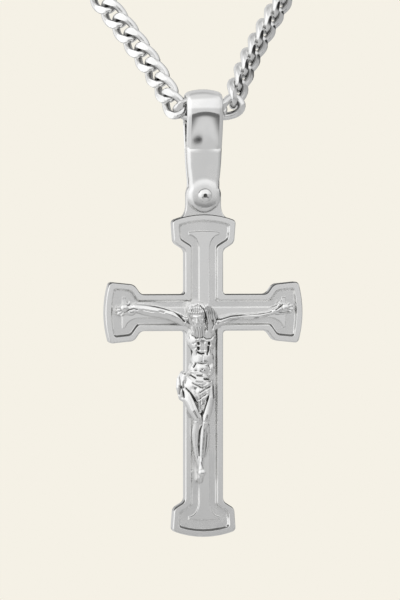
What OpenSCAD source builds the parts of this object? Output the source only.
// Crucifix pendant, riveted to a folded bail that rides on a neck chain.
// Millimetres. The chain hangs as on a neck, with its clasp at the nape, at the origin.
// The front faces -Y and Z points up.

/* [Cross] */
// Width across the two side arms
cross_w = 24; // [22:0.5:30]
// Height of the plate without its lug
cross_h = 38.8; // [36:0.2:48]
// Height of the crossbar's middle above the foot of the upright
bar_h = 27; // [25:0.2:32]
// Thickness of the plate
plate_t = 2; // [1.6:0.1:3]
// Width of the upright
upright_w = 4.6; // [4:0.1:6]
// Width of the crossbar
bar_w = 4.4; // [4:0.1:6]
// Radius in the four corners where the arms cross
fillet_r = 0.55; // [0.2:0.05:1]

/* [Flared ends] */
// Width of the upright's ends at their outer corners
upright_end_w = 7.7; // [6.6:0.1:9]
// Width of the upright's ends where they start
upright_end_in_w = 7.3; // [6.2:0.1:8.5]
// Length of the flank of the upright's ends
upright_end_l = 2.7; // [2:0.1:3.5]
// How far the upright's end edges bulge
upright_bow = 0.73; // [0.3:0.01:1]
// Width of the crossbar's ends at their outer corners
bar_end_w = 7.4; // [6.4:0.1:9]
// Width of the crossbar's ends where they start
bar_end_in_w = 6.8; // [6:0.1:8.5]
// Length of the flank of the crossbar's ends
bar_end_l = 2.95; // [2:0.05:3.5]
// How far the crossbar's end edges bulge
bar_bow = 0.54; // [0.3:0.01:1]
// Length of the slanted shoulder from an arm to its end
shoulder_l = 0.85; // [0.5:0.05:1.3]
// Rounding of the ends' corners
corner_r = 0.4; // [0.1:0.05:0.6]

/* [Relief] */
// Width of the raised rim
rim_w = 0.7; // [0.5:0.05:0.9]
// Depth of the sunk field inside the rim
field_d = 0.4; // [0.2:0.05:0.6]
// Rounding of the field's corners
field_r = 0.5; // [0.2:0.05:0.7]
// Width of the rib along the middle of each arm
rib_w = 1.4; // [1:0.1:1.8]
// Width of the rib's spread ends
rib_end_w = 3.8; // [3:0.1:4.4]
// Length over which the rib spreads
rib_flare_l = 1.7; // [1.2:0.1:2.2]
// Thickness of the spread ends' tips
rib_tip_t = 0.45; // [0.4:0.05:0.7]
// Distance from the rib's ends to the plate's end edges
rib_in = 1.95; // [1.6:0.05:2.4]

/* [Figure] */
// Distance from a side end of the cross to the nail in the hand
hand_in = 2.2; // [2:0.1:3]
// Distance from the foot of the cross to the nail in the feet
foot_in = 7.8; // [6.5:0.1:9]
// How far the head stands out from the front of the cross
relief = 3; // [2.4:0.1:4]
// Thickness of a hand under its nail
palm_t = 0.7; // [0.5:0.05:0.9]
// Thickness of the crossed feet under their nail
feet_t = 1.35; // [1.1:0.05:1.6]
// Gap between the figure and the cross
seat_gap = 0.02; // [0.01:0.01:0.05]

/* [Nails] */
// Diameter of the nails
nail_d = 0.6; // [0.5:0.05:0.8]
// Diameter of the nails' heads
nail_head_d = 0.95; // [0.9:0.05:1.2]
// Height of the nails' heads
nail_head_h = 0.3; // [0.2:0.05:0.5]
// Gap around a nail in the plate, and under its head
nail_gap = 0.01; // [0.01:0.01:0.03]
// Gap around a nail in the figure
cast_gap = 0.06; // [0.04:0.01:0.1]

/* [Lug and rivet] */
// Thickness of the lug on top of the cross
lug_t = 1.2; // [1:0.1:1.5]
// Width of the lug
lug_w = 4.2; // [3.6:0.1:4.6]
// How far the lug's foot flares out on each side
lug_flare_w = 0.9; // [0.5:0.1:1.2]
// Height of the lug's flare
lug_flare_h = 1.6; // [1.2:0.1:2]
// Gap between the bail's round ends and the top of the plate
lug_gap = 0.22; // [0.15:0.01:0.5]
// Diameter of the rivet
rivet_d = 1.1; // [0.9:0.05:1.3]
// Diameter of the rivet's heads
rivet_head_d = 1.7; // [1.5:0.1:2.2]
// Height of the rivet's domed heads
rivet_head_h = 0.5; // [0.3:0.05:0.8]
// Running clearance round the rivet in the lug
rivet_gap = 0.04; // [0.02:0.01:0.08]
// Clearance round the rivet in the bail
rivet_fit = 0.01; // [0.01:0.01:0.02]

/* [Bail] */
// Length from the middle of the chain to the rivet
bail_l = 10.4; // [9:0.2:13]
// Width of the bail over the chain
bail_w = 4.4; // [3.9:0.1:5.2]
// Width at the bail's waist
waist_w = 3.7; // [3.3:0.1:3.9]
// Height of the waist above the rivet
waist_up = 1.8; // [1.4:0.1:2.4]
// Width of the bail's round ends
bail_end_w = 4.1; // [3.8:0.1:4.6]
// Thickness of the strip that the bail is folded from
bail_t = 0.75; // [0.5:0.05:1]
// Rounding of the bail's top corners, seen from the front
bail_corner_r = 0.6; // [0.2:0.1:1]
// Clearance between the bail and the chain
bail_gap = 0.15; // [0.1:0.05:0.3]
// Clearance between the bail and each side of the lug
lug_side_gap = 0.05; // [0.03:0.01:0.1]
// Height above the rivet at which the two sides start to part
part_up = 5.7; // [4.6:0.1:6.4]

/* [Chain and clasp] */
// Width of the chain over its links
chain_w = 2.9; // [2.2:0.1:3.2]
// Outer diameter of the clasp's ring
clasp_d = 6.9; // [6:0.1:8]
// Thickness of the clasp's ring
clasp_t = 1.5; // [1.2:0.1:1.8]
// Inner diameter of the clasp's small eye
eye_in_d = 1.3; // [1.3:0.1:1.6]
// Outer diameter of the two end rings
end_ring_d = 3.7; // [3.6:0.1:4.2]
// Wire of the eye and of the end rings
ring_wire_d = 0.7; // [0.5:0.05:0.7]
// Gap between linked rings, and between a ring and the chain
link_gap = 0.1; // [0.1:0.01:0.15]

/* [Hidden] */

metal = "silver";

// Half of the chain's way round the neck, hand-chosen, from the nape forward and down.
// Its last point is the middle of the bail, where the pendant hangs.
neck_route = [
  [20, -0.3, 0], [34, -2.5, -0.5], [46.5, -8, -1.5], [56.5, -17, -3], [62.5, -28.5, -5.5],
  [64, -41, -10], [61, -53, -18], [54.5, -62, -29.5], [44.5, -70.5, -44]
];
strand_route = [[30, -82.3, -65], [16, -94.3, -85.5], [7.8, -101.6, -97.6], [4.9, -104.9, -102.6]];
bend_route = [[3.7, -106.6, -105.3], [2.8, -107, -106], [1.4, -107, -106], [0, -107, -106]];
hang = bend_route[len(bend_route) - 1];
// Spacing of the rings of the chain's envelope, in chain widths
ring_step = 2.3;
chain_sides = 8;

// Levels of the cross above the middle of the plate
front_z = plate_t / 2;
field_z = front_z - field_d;
over = 0.1;
// Places along the upright, measured from the crossbar's middle
top_l = cross_h - bar_h;
foot_l = bar_h;
side_l = cross_w / 2;
rivet_up = top_l + lug_gap + bail_end_w / 2;

// The nails hold the figure, so its proportions follow them
reach = side_l - hand_in;
drop = foot_l - foot_in;

// Side view of the bail
leaf_y = lug_t / 2 + lug_side_gap;
bail_in_r = chain_w / 2 + bail_gap;
grip_l = 2 * (leaf_y + bail_t);
bore_cut = 0.02;

// Centres of the clasp's rings along X
clasp_r = (clasp_d - clasp_t) / 2;
eye_r = (eye_in_d + ring_wire_d) / 2;
end_ring_r = (end_ring_d - ring_wire_d) / 2;
eye_bite = 0.35;
eye_x = clasp_d / 2 + eye_in_d / 2 + ring_wire_d - eye_bite;
end_ring_right_x = eye_x + eye_r - ring_wire_d - link_gap + end_ring_r;
end_ring_left_x = -(clasp_r - clasp_t / 2 - ring_wire_d / 2 - link_gap + end_ring_r);
chain_right_x = end_ring_right_x + end_ring_d / 2 + link_gap;
chain_left_x = end_ring_left_x - end_ring_d / 2 - link_gap;

corner_steps = 3;
bow_steps = 6;
flare_steps = 4;
dome_steps = 8;

// Plane geometry. An outline is a counterclockwise list of [x, y, corner radius].
function unit(v) = v / norm(v);
function left_of(v) = [-v[1], v[0]];
function xy(p) = [p[0], p[1]];
function reversed(list) = [for (i = [len(list) - 1:-1:0]) list[i]];

// Moves every side of an outline inwards by d
function inset(outline, d) =
  let (n = len(outline))
  [for (i = [0:n - 1])
    let (
      before = xy(outline[(i + n - 1) % n]),
      p = xy(outline[i]),
      after = xy(outline[(i + 1) % n]),
      m = left_of(unit(p - before)),
      k = left_of(unit(after - p))
    )
    concat(p + d * (m + k) / (1 + m * k), [outline[i][2]])];

// The points of a corner at p, rounded by an arc of radius r that its sides leave room for
function arc_corner(before, p, after, r) =
  let (
    u = unit(before - p),
    v = unit(after - p),
    half = acos(u * v) / 2,
    room = 0.45 * min(norm(before - p), norm(after - p)),
    t = min(r / tan(half), room),
    centre = p + unit(u + v) * t / cos(half),
    from = p + u * t - centre,
    to = p + v * t - centre,
    sweep = 180 - 2 * half
  )
  [for (i = [0:corner_steps])
    let (s = i / corner_steps)
    centre + (sin((1 - s) * sweep) * from + sin(s * sweep) * to) / sin(sweep)];

function rounded(outline) =
  let (n = len(outline))
  [for (i = [0:n - 1])
    each outline[i][2] == 0
      ? [xy(outline[i])]
      : arc_corner(xy(outline[(i + n - 1) % n]), xy(outline[i]), xy(outline[(i + 1) % n]), outline[i][2])];

// One arm, from one side round its end to the other. Its flank is a list of [along, across, radius].
function arm(flank, bow, tip_l, direction) =
  let (
    half = flank[len(flank) - 1][1],
    tip = [for (i = [1:bow_steps - 1])
      let (across = half * (2 * i / bow_steps - 1))
      [tip_l - bow * pow(across / half, 2), across, 0]],
    points = concat([for (p = flank) [p[0], -p[1], p[2]]], tip, reversed(flank))
  )
  [for (p = points) concat(p[0] * direction + p[1] * left_of(direction), [p[2]])];

// The plate's outline, with a corner where each pair of arms crosses
function plate_flank(tip_l, bow, w, in_w, out_w, end_l) = [
  [tip_l - bow - end_l - shoulder_l, w / 2, corner_r],
  [tip_l - bow - end_l, in_w / 2, corner_r],
  [tip_l - bow, out_w / 2, corner_r]
];
function bar_arm(direction) =
  arm(plate_flank(side_l, bar_bow, bar_w, bar_end_in_w, bar_end_w, bar_end_l), bar_bow, side_l, direction);
function upright_arm(tip_l, direction) =
  arm(plate_flank(tip_l, upright_bow, upright_w, upright_end_in_w, upright_end_w, upright_end_l),
      upright_bow, tip_l, direction);
function crossing(w, h, r) = [w / 2, h / 2, r];
plate_outline = concat(
  bar_arm([1, 0]), [crossing(upright_w, bar_w, fillet_r)],
  upright_arm(top_l, [0, 1]), [crossing(-upright_w, bar_w, fillet_r)],
  bar_arm([-1, 0]), [crossing(-upright_w, -bar_w, fillet_r)],
  upright_arm(foot_l, [0, -1]), [crossing(upright_w, -bar_w, fillet_r)]
);

// The rib's outline: straight along each arm, then spreading in a hollow curve to a slim tip
rib_bow = 0.1;
function rib_arm(tip_l, direction) =
  let (
    end_l = tip_l - rib_in,
    flare_end = end_l - rib_bow - rib_tip_t,
    flank = concat(
      [for (i = [0:flare_steps])
        let (a = 90 * i / flare_steps)
        [flare_end - rib_flare_l * (1 - sin(a)), rib_w / 2 + (rib_end_w - rib_w) / 2 * (1 - cos(a)), 0]],
      [[end_l - rib_bow, rib_end_w / 2, 0]]
    )
  )
  arm(flank, rib_bow, end_l, direction);
rib_outline = concat(
  rib_arm(side_l, [1, 0]), [crossing(rib_w, rib_w, 0)],
  rib_arm(top_l, [0, 1]), [crossing(-rib_w, rib_w, 0)],
  rib_arm(side_l, [-1, 0]), [crossing(-rib_w, -rib_w, 0)],
  rib_arm(foot_l, [0, -1]), [crossing(rib_w, -rib_w, 0)]
);

function with_corners(outline, r) = [for (p = outline) [p[0], p[1], p[2] == 0 ? 0 : r]];

// The cross, drawn lying on its back around the middle of its crossbar

module sunk_field() {
  translate([0, 0, field_z])
    linear_extrude(field_d + over)
      polygon(rounded(inset(with_corners(plate_outline, field_r), rim_w)));
}

module rib() {
  translate([0, 0, field_z - over]) linear_extrude(field_d + over) polygon(rounded(rib_outline));
}

module lug() {
  flare_x = lug_w / 2 + lug_flare_w;
  foot_z = top_l - upright_bow * pow(2 * flare_x / upright_end_w, 2);
  flare = [for (i = [0:flare_steps])
    let (a = 90 * i / flare_steps)
    [lug_w / 2 + lug_flare_w * (1 - cos(a)), foot_z + lug_flare_h * (1 - sin(a))]];
  right_edge = concat([[lug_w / 2, rivet_up]], flare, [[flare_x, foot_z - rim_w / 2]]);
  translate([0, 0, -lug_t / 2])
    linear_extrude(lug_t) {
      translate([0, rivet_up]) circle(d = lug_w, $fn = 64);
      polygon(concat(right_edge, [for (p = reversed(right_edge)) [-p[0], p[1]]]));
    }
}

module through_plate(place, d) {
  translate([place[0], place[1], -front_z - over])
    cylinder(h = plate_t + 2 * over, d = d, $fn = 32);
}

module cross_flat() {
  difference() {
    union() {
      difference() {
        translate([0, 0, -front_z]) linear_extrude(plate_t) polygon(rounded(plate_outline));
        sunk_field();
      }
      rib();
      lug();
    }
    through_plate([0, rivet_up], rivet_d + 2 * rivet_gap);
    for (place = nail_places) through_plate(place, nail_d + 2 * nail_gap);
  }
}

// The figure, over the front of the plate. Each row is a ball of its flesh or cloth:
// [across / reach, up / drop, out / relief, radius / relief]

palm = [1, 0.031];
feet = [-0.051, -1];
nail_places = [
  [-palm[0] * reach, palm[1] * drop],
  [palm[0] * reach, palm[1] * drop],
  [feet[0] * reach, feet[1] * drop]
];

arm_left = [
  [-0.25, -0.05, 0.22, 0.22], [-0.42, -0.01, 0.2, 0.22], [-0.6, 0.018, 0.18, 0.2],
  [-0.785, 0.034, 0.16, 0.17], [-0.9, 0.042, 0.13, 0.125], [-palm[0], palm[1], 0.12, 0.145],
  [-1.07, 0.016, 0.08, 0.07]
];
arm_right = [
  [0.16, -0.055, 0.22, 0.2], [0.31, -0.03, 0.2, 0.17], [0.44, -0.022, 0.18, 0.15],
  [0.63, -0.024, 0.16, 0.145], [0.81, -0.006, 0.14, 0.11], [palm[0], palm[1], 0.12, 0.145],
  [1.07, 0.018, 0.08, 0.07]
];
leg_left = [
  [-0.19, -0.47, 0.32, 0.29], [-0.135, -0.665, 0.6, 0.195], [-0.145, -0.77, 0.42, 0.165],
  [-0.105, -0.9, 0.33, 0.12], [-0.062, -0.985, 0.32, 0.125], [-0.056, -1.045, 0.22, 0.12]
];
leg_right = [
  [0.018, -0.47, 0.32, 0.28], [0.01, -0.59, 0.5, 0.22], [-0.042, -0.67, 0.58, 0.18],
  [-0.052, -0.775, 0.4, 0.16], [-0.035, -0.9, 0.22, 0.115], [-0.045, -1.03, 0.12, 0.12]
];
chest = [
  [-0.215, -0.04, 0.24, 0.2], [0.16, -0.06, 0.24, 0.2],
  [-0.077, -0.16, 0.28, 0.285], [0.046, -0.165, 0.28, 0.285]
];
waist = [
  [-0.077, -0.16, 0.28, 0.285], [0.046, -0.165, 0.28, 0.285],
  [-0.056, -0.307, 0.24, 0.22], [0.026, -0.307, 0.24, 0.22]
];
hips = [
  [-0.056, -0.307, 0.24, 0.22], [0.026, -0.307, 0.24, 0.22],
  [-0.163, -0.427, 0.27, 0.285], [0.015, -0.437, 0.27, 0.285]
];
head = [[-0.087, 0.023, 0.52, 0.32], [-0.071, -0.026, 0.72, 0.265], [-0.045, -0.125, 0.54, 0.15]];
neck = [[-0.087, 0.023, 0.45, 0.25], [-0.03, -0.078, 0.3, 0.2]];
hair_left = [[-0.11, 0.016, 0.48, 0.27], [-0.15, -0.02, 0.4, 0.17], [-0.153, -0.09, 0.37, 0.12]];
hair_right = [
  [-0.03, 0.02, 0.48, 0.29], [0.085, -0.028, 0.4, 0.19], [0.12, -0.06, 0.35, 0.15],
  [0.1, -0.115, 0.37, 0.12]
];
cloth = [[-0.179, -0.4, 0.3, 0.31], [0.02, -0.428, 0.3, 0.3], [-0.041, -0.61, 0.52, 0.12]];
knot = [[-0.29, -0.39, 0.27, 0.16], [-0.31, -0.462, 0.29, 0.23], [-0.29, -0.545, 0.27, 0.12]];

module ball(row) {
  translate([row[0] * reach, row[1] * drop, front_z + row[2] * relief])
    sphere(r = row[3] * relief, $fn = 16);
}

module limb(rows) {
  for (i = [0:len(rows) - 2])
    hull() {
      ball(rows[i]);
      ball(rows[i + 1]);
    }
}

module block(rows) {
  hull() for (row = rows) ball(row);
}

// Room for a nail: its shank right through, and its head above the flesh that it holds
module nail_room(place, flesh_t) {
  translate([place[0], place[1], front_z - over])
    cylinder(h = flesh_t + 2 * over, d = nail_d + 2 * cast_gap, $fn = 16);
  translate([place[0], place[1], front_z + flesh_t])
    cylinder(h = relief, d = nail_head_d + 2 * cast_gap, $fn = 16);
}

module figure() {
  difference() {
    union() {
      for (rows = [arm_left, arm_right, leg_left, leg_right, neck, head, hair_left, hair_right, knot])
        limb(rows);
      for (rows = [chest, waist, hips, cloth]) block(rows);
    }
    translate([-cross_w, -cross_h, front_z + seat_gap - 2 * relief])
      cube([2 * cross_w, 2 * cross_h, 2 * relief]);
    nail_room(nail_places[0], palm_t);
    nail_room(nail_places[1], palm_t);
    nail_room(nail_places[2], feet_t);
  }
}

// A low dome as half of a cross-section, from its rim at [r, z] up to the axis
function dome(r, h, z) = [for (i = [0:dome_steps])
  let (a = 90 * i / dome_steps)
  [r * cos(a), z + h * sin(a)]];

module nail(place, flesh_t) {
  under_head = front_z + flesh_t + nail_gap;
  translate([place[0], place[1], 0])
    rotate_extrude($fn = 32)
      polygon(concat(
        [[0, -front_z], [nail_d / 2, -front_z], [nail_d / 2, under_head]],
        dome(nail_head_d / 2, nail_head_h, under_head)
      ));
}

// Everything on the cross hangs from its rivet
module stand_up() {
  translate(hang - [0, 0, bail_l + rivet_up]) rotate([90, 0, 0]) children();
}

module cross() { color(metal) stand_up() cross_flat(); }
module corpus() { color(metal) stand_up() figure(); }
module nail_left() { color(metal) stand_up() nail(nail_places[0], palm_t); }
module nail_right() { color(metal) stand_up() nail(nail_places[1], palm_t); }
module nail_feet() { color(metal) stand_up() nail(nail_places[2], feet_t); }

// The rivet lies along Y, with the same dome at both ends
module rivet() {
  upper_half = concat([[rivet_d / 2, grip_l / 2]], dome(rivet_head_d / 2, rivet_head_h, grip_l / 2));
  color(metal)
    translate(hang - [0, 0, bail_l])
      rotate([90, 0, 0])
        rotate_extrude($fn = 48)
          polygon(concat([for (p = reversed(upper_half)) [p[0], -p[1]]], upper_half));
}

// The bail's inside, seen from its side: a loop over the chain, whose sides run down to the lug
function bail_inside(r) =
  let (
    part = [leaf_y, part_up - bail_l],
    lift = atan2(part[1], part[0]) + acos(r / norm(part)),
    loop_steps = 24
  )
  concat(
    [[leaf_y, -bail_l - bail_end_w, 0], [part[0], part[1], bail_t]],
    [for (i = [0:loop_steps])
      let (a = lift + (180 - 2 * lift) * i / loop_steps)
      [r * cos(a), r * sin(a), 0]],
    [[-part[0], part[1], bail_t], [-leaf_y, -bail_l - bail_end_w, 0]]
  );

// The bail's outline from the front: a slightly hollow-sided strip with a round end
module bail_front() {
  waist_z = waist_up - bail_l;
  top_z = bail_in_r + bail_t + over;
  side_steps = 6;
  edge = [for (i = [0:side_steps])
    let (s = i / side_steps)
    [waist_w / 2 + (bail_w - waist_w) / 2 * (1 - pow(1 - s, 4)), waist_z + (top_z - waist_z) * s, 0]];
  corner = edge[side_steps];
  right_edge = concat(
    [[waist_w / 2, -bail_l, 0]],
    [for (i = [0:side_steps - 1]) edge[i]],
    [[corner[0], corner[1], bail_corner_r + over]]
  );
  polygon(rounded(concat(right_edge, [for (p = reversed(right_edge)) [-p[0], p[1], p[2]]])));
  translate([0, -bail_l]) circle(d = bail_end_w, $fn = 64);
}

module bail() {
  // The strip is drawn a hair tight over the chain, and the round bore then brings it to size
  inside = bail_inside(bail_in_r - bore_cut);
  color(metal)
    translate(hang)
      difference() {
        intersection() {
          translate([-bail_w, 0, 0])
            rotate([90, 0, 90])
              linear_extrude(2 * bail_w)
                difference() {
                  polygon(rounded(inset(inside, -bail_t)));
                  polygon(rounded(inside));
                }
          translate([0, bail_w, 0])
            rotate([90, 0, 0])
              linear_extrude(2 * bail_w) bail_front();
        }
        translate([0, bail_w, -bail_l])
          rotate([90, 0, 0])
            cylinder(h = 2 * bail_w, d = rivet_d + 2 * rivet_fit, $fn = 48);
        rotate([0, 90, 0]) cylinder(h = 2 * bail_w, r = bail_in_r, center = true, $fn = 64);
      }
}

// The chain's envelope: a tube round the way that its links follow

function spline(p, i, t) =
  let (
    n = len(p) - 1,
    a = p[max(i - 1, 0)],
    b = p[i],
    c = p[i + 1],
    d = p[min(i + 2, n)]
  )
  0.5 * (2 * b + (c - a) * t + (2 * a - 5 * b + 4 * c - d) * t * t + (3 * b - a - 3 * c + d) * t * t * t);

function way(points) = concat(
  [for (i = [0:len(points) - 2])
    let (n = max(1, round(norm(points[i + 1] - points[i]) / (ring_step * chain_w))))
    for (k = [0:n - 1]) spline(points, i, k / n)],
  [points[len(points) - 1]]
);

function ring_at(centre, ahead) =
  let (
    side = unit(cross(ahead, [0, -1, 2])),
    up = cross(ahead, side)
  )
  [for (i = [0:chain_sides - 1])
    let (a = 360 * (i + 0.5) / chain_sides)
    centre + chain_w / 2 * (cos(a) * side + sin(a) * up)];

// A closed skin over rings of points, each ring counterclockwise seen from the last one
module skin(rings) {
  n = len(rings[0]);
  last = (len(rings) - 1) * n;
  polyhedron(
    points = [for (ring = rings) each ring],
    faces = concat(
      [[for (i = [0:n - 1]) i]],
      [[for (i = [n - 1:-1:0]) last + i]],
      [for (row = [0:len(rings) - 2], i = [0:n - 1])
        let (a = row * n + i, b = row * n + (i + 1) % n)
        each [[a, a + n, b], [b, a + n, b + n]]]
    )
  );
}

// One half of the chain, with s = 1 on the right and -1 on the left
module chain_half(end_x, s) {
  route = concat([[end_x, 0, 0]], neck_route, strand_route, bend_route);
  middles = [for (p = way(route)) [s * p[0], p[1], p[2]]];
  last = len(middles) - 1;
  along_x = [-s, 0, 0];
  skin([for (i = [0:last])
    let (ahead = i == 0 ? -along_x : i == last ? along_x : unit(middles[i + 1] - middles[i - 1]))
    ring_at(middles[i], ahead)]);
}

module chain_left() { color(metal) chain_half(-chain_left_x, -1); }
module chain_right() { color(metal) chain_half(chain_right_x, 1); }

// Rings round the nape

module torus(r, wire_d) {
  rotate_extrude($fn = 48) translate([r, 0]) circle(d = wire_d, $fn = 24);
}

module clasp() {
  color(metal)
    rotate([90, 0, 0]) {
      torus(clasp_r, clasp_t);
      translate([eye_x, 0, 0]) torus(eye_r, ring_wire_d);
    }
}

module end_ring_left() {
  color(metal) translate([end_ring_left_x, 0, 0]) torus(end_ring_r, ring_wire_d);
}

module end_ring_right() {
  color(metal) translate([end_ring_right_x, 0, 0]) torus(end_ring_r, ring_wire_d);
}

chain_left();
chain_right();
clasp();
end_ring_left();
end_ring_right();
bail();
rivet();
cross();
corpus();
nail_left();
nail_right();
nail_feet();
